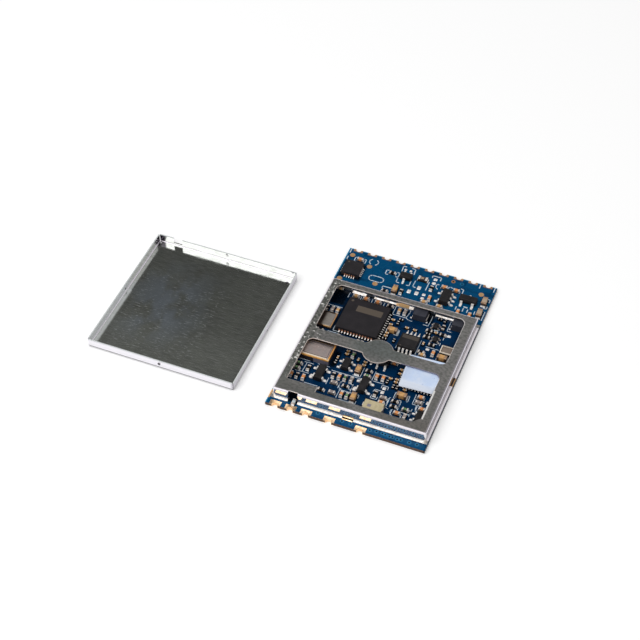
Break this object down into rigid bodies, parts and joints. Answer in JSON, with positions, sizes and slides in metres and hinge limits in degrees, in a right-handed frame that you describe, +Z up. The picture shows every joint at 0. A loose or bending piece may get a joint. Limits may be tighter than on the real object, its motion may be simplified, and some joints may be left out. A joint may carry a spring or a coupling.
{
  "type": "video receiver module",
  "caption": "Solder-down video receiver: blue board with plated edge notches, chips and small parts under a pressed shield frame with windows, its shallow clip-on lid lying open beside it",
  "frame": {"origin": "the middle of the circuit board's underside, which lies on the same plane as the turned-over lid's outer face", "axes": "X runs to the right along the plated edge rows, Y runs from the antenna edge at the front to the full pad row at the rear, Z points up out of the board's part side"},
  "size_m": [0.0571, 0.0364, 0.0026],
  "materials": {
    "board_mask": "blue solder mask over glass-epoxy laminate",
    "gold_plating": "thin gold over nickel and copper",
    "tinned_copper": "copper with a coat of solder",
    "frame_sheet": "satin tin-plated steel sheet",
    "lid_sheet": "brushed tin-plated steel sheet",
    "chip_mould": "black epoxy moulding compound",
    "chip_leads": "sawn copper lead ends, tinned under",
    "package_mould": "black epoxy moulding compound",
    "legs": "tinned copper-alloy legs",
    "thermal_gel": "soft pale blue silicone gap filler",
    "can_ceramic": "dark fired ceramic",
    "can_gold": "gold-plated seal ring",
    "oscillator_metal": "plain nickel alloy lid",
    "crystal_metal": "plain nickel alloy lid",
    "core_ferrite": "dark slate ferrite",
    "end_caps": "tinned end caps",
    "filter_ceramic": "beige fired ceramic",
    "tan_ceramic": "tan fired ceramic",
    "orange_ceramic": "orange-brown fired ceramic",
    "grey_ceramic": "grey fired ceramic",
    "coil_ceramic": "dark ceramic with a green mark",
    "resistor_film": "black overcoat on white ceramic",
    "white_ceramic": "off-white fired ceramic"
  },
  "bodies": {
    "root": {"circuit_board": "board_mask", "rear_edge_pads": "gold_plating", "front_edge_pads": "gold_plating", "test_pads": "gold_plating", "ground_strip": "tinned_copper", "tinned_pads": "tinned_copper", "shield_frame": "frame_sheet", "shield_lid": "lid_sheet", "video_chip_body": "chip_mould", "video_chip_leads": "chip_leads", "tuner_chip_body": "chip_mould", "tuner_chip_leads": "chip_leads", "thermal_pad": "thermal_gel", "controller_chip_body": "chip_mould", "controller_chip_leads": "chip_leads", "amplifier_body": "package_mould", "amplifier_leads": "legs", "regulator_body": "package_mould", "regulator_leads": "legs", "rear_transistor_body": "package_mould", "rear_transistor_leads": "legs", "buffer_transistor_body": "package_mould", "buffer_transistor_leads": "legs", "radio_transistor_bodies": "package_mould", "radio_transistor_leads": "legs", "mixer_transistor_body": "package_mould", "mixer_transistor_leads": "legs", "switch_transistor_bodies": "package_mould", "switch_transistor_leads": "legs", "tiny_transistor_bodies": "package_mould", "tiny_transistor_leads": "legs", "oscillator_base": "can_ceramic", "oscillator_rim": "can_gold", "oscillator_lid": "oscillator_metal", "crystal_bases": "can_ceramic", "crystal_rims": "can_gold", "crystal_lids": "crystal_metal", "inductor_cores": "core_ferrite", "inductor_terminals": "end_caps", "filter_block": "filter_ceramic", "filter_terminals": "end_caps", "tan_capacitors": "tan_ceramic", "orange_capacitors": "orange_ceramic", "grey_capacitors": "grey_ceramic", "marked_coils": "coil_ceramic", "resistors": "resistor_film", "antenna_capacitor": "white_ceramic", "ferrite_body": "grey_ceramic", "large_capacitors": "tan_ceramic", "small_capacitors": "tan_ceramic", "small_resistors": "resistor_film", "middle_end_caps": "end_caps", "resistor_end_caps": "end_caps", "large_end_caps": "end_caps", "small_end_caps": "end_caps"}
  },
  "joints": []
}
